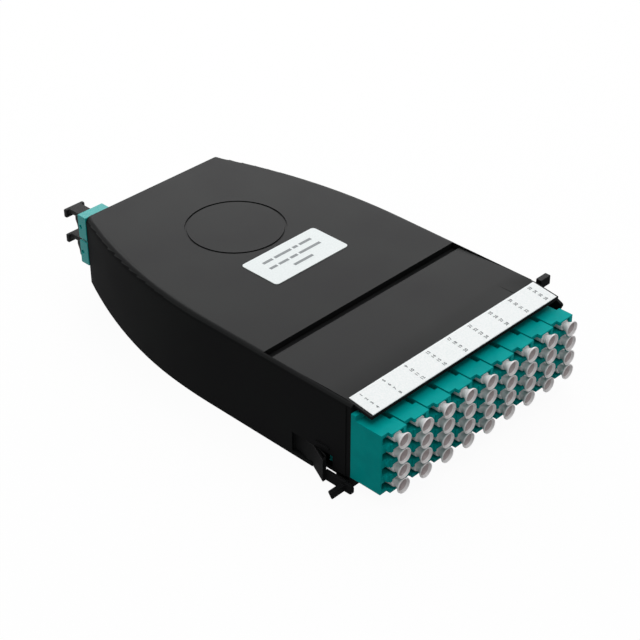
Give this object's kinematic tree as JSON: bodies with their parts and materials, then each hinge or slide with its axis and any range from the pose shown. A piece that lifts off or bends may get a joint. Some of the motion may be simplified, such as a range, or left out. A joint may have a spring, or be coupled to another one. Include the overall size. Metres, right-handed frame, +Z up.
{
  "type": "fibre cassette",
  "caption": "Flat tapered fibre-optic cassette with columns of stacked duplex-style ports in front, each closed by a pull-out dust cap, two multi-fibre inlets behind and sprung side latches.",
  "frame": {"origin": "on the flat underside, midway between the sides, below the housing's front wall", "axes": "+X to the right along the row of ports, +Y to the rear, +Z up"},
  "size_m": [0.116, 0.188, 0.0353],
  "materials": {
    "housing_plastic": "fine moulded texture, near-black",
    "adapter_plastic": "smooth aqua moulding",
    "cap_clear": "milky translucent soft moulding",
    "cap_black": "soft black moulding",
    "label_paper": "matt white label",
    "zirconia": "ground white ceramic",
    "plug_plastic": "smooth aqua moulding",
    "fibre_jacket": "smooth aqua jacket"
  },
  "bodies": {
    "cassette": {"base_tray": "housing_plastic", "top_cover": "housing_plastic", "front_cover": "housing_plastic", "port_label": "label_paper", "product_label": "label_paper", "lc_adapter_1": "adapter_plastic", "lc_adapter_2": "adapter_plastic", "lc_adapter_3": "adapter_plastic", "lc_adapter_4": "adapter_plastic", "lc_adapter_5": "adapter_plastic", "lc_adapter_6": "adapter_plastic", "lc_adapter_7": "adapter_plastic", "lc_adapter_8": "adapter_plastic", "lc_adapter_9": "adapter_plastic", "mpo_adapter_upper": "adapter_plastic", "mpo_adapter_lower": "adapter_plastic", "alignment_sleeves": "zirconia", "inner_lc_plugs": "plug_plastic", "inner_mpo_plugs": "plug_plastic", "fibre_fanout": "fibre_jacket"},
    "latch_left": {"latch_left": "housing_plastic"},
    "latch_right": {"latch_right": "housing_plastic"},
    "mpo_cap_upper": {"mpo_cap_upper": "cap_black"},
    "mpo_cap_lower": {"mpo_cap_lower": "cap_black"},
    "dust_cap_1_1": {"dust_cap_1_1": "cap_clear"},
    "dust_cap_1_2": {"dust_cap_1_2": "cap_clear"},
    "dust_cap_1_3": {"dust_cap_1_3": "cap_clear"},
    "dust_cap_1_4": {"dust_cap_1_4": "cap_clear"},
    "dust_cap_2_1": {"dust_cap_2_1": "cap_clear"},
    "dust_cap_2_2": {"dust_cap_2_2": "cap_clear"},
    "dust_cap_2_3": {"dust_cap_2_3": "cap_clear"},
    "dust_cap_2_4": {"dust_cap_2_4": "cap_clear"},
    "dust_cap_3_1": {"dust_cap_3_1": "cap_clear"},
    "dust_cap_3_2": {"dust_cap_3_2": "cap_clear"},
    "dust_cap_3_3": {"dust_cap_3_3": "cap_clear"},
    "dust_cap_3_4": {"dust_cap_3_4": "cap_clear"},
    "dust_cap_4_1": {"dust_cap_4_1": "cap_clear"},
    "dust_cap_4_2": {"dust_cap_4_2": "cap_clear"},
    "dust_cap_4_3": {"dust_cap_4_3": "cap_clear"},
    "dust_cap_4_4": {"dust_cap_4_4": "cap_clear"},
    "dust_cap_5_1": {"dust_cap_5_1": "cap_clear"},
    "dust_cap_5_2": {"dust_cap_5_2": "cap_clear"},
    "dust_cap_5_3": {"dust_cap_5_3": "cap_clear"},
    "dust_cap_5_4": {"dust_cap_5_4": "cap_clear"},
    "dust_cap_6_1": {"dust_cap_6_1": "cap_clear"},
    "dust_cap_6_2": {"dust_cap_6_2": "cap_clear"},
    "dust_cap_6_3": {"dust_cap_6_3": "cap_clear"},
    "dust_cap_6_4": {"dust_cap_6_4": "cap_clear"},
    "dust_cap_7_1": {"dust_cap_7_1": "cap_clear"},
    "dust_cap_7_2": {"dust_cap_7_2": "cap_clear"},
    "dust_cap_7_3": {"dust_cap_7_3": "cap_clear"},
    "dust_cap_7_4": {"dust_cap_7_4": "cap_clear"},
    "dust_cap_8_1": {"dust_cap_8_1": "cap_clear"},
    "dust_cap_8_2": {"dust_cap_8_2": "cap_clear"},
    "dust_cap_8_3": {"dust_cap_8_3": "cap_clear"},
    "dust_cap_8_4": {"dust_cap_8_4": "cap_clear"},
    "dust_cap_9_1": {"dust_cap_9_1": "cap_clear"},
    "dust_cap_9_2": {"dust_cap_9_2": "cap_clear"},
    "dust_cap_9_3": {"dust_cap_9_3": "cap_clear"},
    "dust_cap_9_4": {"dust_cap_9_4": "cap_clear"}
  },
  "joints": [
    {"name": "latch_left_flex", "type": "hinge", "parent": "cassette", "child": "latch_left", "pos_m": [-0.0491, 0.026, 0.0056], "axis": [0, 0, 1], "range_deg": [0, 4.4], "stiffness_Nm_per_rad": 0.3},
    {"name": "latch_right_flex", "type": "hinge", "parent": "cassette", "child": "latch_right", "pos_m": [0.0491, 0.026, 0.0256], "axis": [0, 0, -1], "range_deg": [0, 3.2], "stiffness_Nm_per_rad": 0.3},
    {"name": "mpo_cap_upper_pull", "type": "slide", "parent": "cassette", "child": "mpo_cap_upper", "axis": [0, 1, 0], "range_m": [0, 0.011]},
    {"name": "mpo_cap_lower_pull", "type": "slide", "parent": "cassette", "child": "mpo_cap_lower", "axis": [0, 1, 0], "range_m": [0, 0.011]},
    {"name": "dust_cap_1_1_pull", "type": "slide", "parent": "cassette", "child": "dust_cap_1_1", "axis": [0, -1, 0], "range_m": [0, 0.012]},
    {"name": "dust_cap_1_2_pull", "type": "slide", "parent": "cassette", "child": "dust_cap_1_2", "axis": [0, -1, 0], "range_m": [0, 0.012]},
    {"name": "dust_cap_1_3_pull", "type": "slide", "parent": "cassette", "child": "dust_cap_1_3", "axis": [0, -1, 0], "range_m": [0, 0.012]},
    {"name": "dust_cap_1_4_pull", "type": "slide", "parent": "cassette", "child": "dust_cap_1_4", "axis": [0, -1, 0], "range_m": [0, 0.012]},
    {"name": "dust_cap_2_1_pull", "type": "slide", "parent": "cassette", "child": "dust_cap_2_1", "axis": [0, -1, 0], "range_m": [0, 0.012]},
    {"name": "dust_cap_2_2_pull", "type": "slide", "parent": "cassette", "child": "dust_cap_2_2", "axis": [0, -1, 0], "range_m": [0, 0.012]},
    {"name": "dust_cap_2_3_pull", "type": "slide", "parent": "cassette", "child": "dust_cap_2_3", "axis": [0, -1, 0], "range_m": [0, 0.012]},
    {"name": "dust_cap_2_4_pull", "type": "slide", "parent": "cassette", "child": "dust_cap_2_4", "axis": [0, -1, 0], "range_m": [0, 0.012]},
    {"name": "dust_cap_3_1_pull", "type": "slide", "parent": "cassette", "child": "dust_cap_3_1", "axis": [0, -1, 0], "range_m": [0, 0.012]},
    {"name": "dust_cap_3_2_pull", "type": "slide", "parent": "cassette", "child": "dust_cap_3_2", "axis": [0, -1, 0], "range_m": [0, 0.012]},
    {"name": "dust_cap_3_3_pull", "type": "slide", "parent": "cassette", "child": "dust_cap_3_3", "axis": [0, -1, 0], "range_m": [0, 0.012]},
    {"name": "dust_cap_3_4_pull", "type": "slide", "parent": "cassette", "child": "dust_cap_3_4", "axis": [0, -1, 0], "range_m": [0, 0.012]},
    {"name": "dust_cap_4_1_pull", "type": "slide", "parent": "cassette", "child": "dust_cap_4_1", "axis": [0, -1, 0], "range_m": [0, 0.012]},
    {"name": "dust_cap_4_2_pull", "type": "slide", "parent": "cassette", "child": "dust_cap_4_2", "axis": [0, -1, 0], "range_m": [0, 0.012]},
    {"name": "dust_cap_4_3_pull", "type": "slide", "parent": "cassette", "child": "dust_cap_4_3", "axis": [0, -1, 0], "range_m": [0, 0.012]},
    {"name": "dust_cap_4_4_pull", "type": "slide", "parent": "cassette", "child": "dust_cap_4_4", "axis": [0, -1, 0], "range_m": [0, 0.012]},
    {"name": "dust_cap_5_1_pull", "type": "slide", "parent": "cassette", "child": "dust_cap_5_1", "axis": [0, -1, 0], "range_m": [0, 0.012]},
    {"name": "dust_cap_5_2_pull", "type": "slide", "parent": "cassette", "child": "dust_cap_5_2", "axis": [0, -1, 0], "range_m": [0, 0.012]},
    {"name": "dust_cap_5_3_pull", "type": "slide", "parent": "cassette", "child": "dust_cap_5_3", "axis": [0, -1, 0], "range_m": [0, 0.012]},
    {"name": "dust_cap_5_4_pull", "type": "slide", "parent": "cassette", "child": "dust_cap_5_4", "axis": [0, -1, 0], "range_m": [0, 0.012]},
    {"name": "dust_cap_6_1_pull", "type": "slide", "parent": "cassette", "child": "dust_cap_6_1", "axis": [0, -1, 0], "range_m": [0, 0.012]},
    {"name": "dust_cap_6_2_pull", "type": "slide", "parent": "cassette", "child": "dust_cap_6_2", "axis": [0, -1, 0], "range_m": [0, 0.012]},
    {"name": "dust_cap_6_3_pull", "type": "slide", "parent": "cassette", "child": "dust_cap_6_3", "axis": [0, -1, 0], "range_m": [0, 0.012]},
    {"name": "dust_cap_6_4_pull", "type": "slide", "parent": "cassette", "child": "dust_cap_6_4", "axis": [0, -1, 0], "range_m": [0, 0.012]},
    {"name": "dust_cap_7_1_pull", "type": "slide", "parent": "cassette", "child": "dust_cap_7_1", "axis": [0, -1, 0], "range_m": [0, 0.012]},
    {"name": "dust_cap_7_2_pull", "type": "slide", "parent": "cassette", "child": "dust_cap_7_2", "axis": [0, -1, 0], "range_m": [0, 0.012]},
    {"name": "dust_cap_7_3_pull", "type": "slide", "parent": "cassette", "child": "dust_cap_7_3", "axis": [0, -1, 0], "range_m": [0, 0.012]},
    {"name": "dust_cap_7_4_pull", "type": "slide", "parent": "cassette", "child": "dust_cap_7_4", "axis": [0, -1, 0], "range_m": [0, 0.012]},
    {"name": "dust_cap_8_1_pull", "type": "slide", "parent": "cassette", "child": "dust_cap_8_1", "axis": [0, -1, 0], "range_m": [0, 0.012]},
    {"name": "dust_cap_8_2_pull", "type": "slide", "parent": "cassette", "child": "dust_cap_8_2", "axis": [0, -1, 0], "range_m": [0, 0.012]},
    {"name": "dust_cap_8_3_pull", "type": "slide", "parent": "cassette", "child": "dust_cap_8_3", "axis": [0, -1, 0], "range_m": [0, 0.012]},
    {"name": "dust_cap_8_4_pull", "type": "slide", "parent": "cassette", "child": "dust_cap_8_4", "axis": [0, -1, 0], "range_m": [0, 0.012]},
    {"name": "dust_cap_9_1_pull", "type": "slide", "parent": "cassette", "child": "dust_cap_9_1", "axis": [0, -1, 0], "range_m": [0, 0.012]},
    {"name": "dust_cap_9_2_pull", "type": "slide", "parent": "cassette", "child": "dust_cap_9_2", "axis": [0, -1, 0], "range_m": [0, 0.012]},
    {"name": "dust_cap_9_3_pull", "type": "slide", "parent": "cassette", "child": "dust_cap_9_3", "axis": [0, -1, 0], "range_m": [0, 0.012]},
    {"name": "dust_cap_9_4_pull", "type": "slide", "parent": "cassette", "child": "dust_cap_9_4", "axis": [0, -1, 0], "range_m": [0, 0.012]}
  ]
}
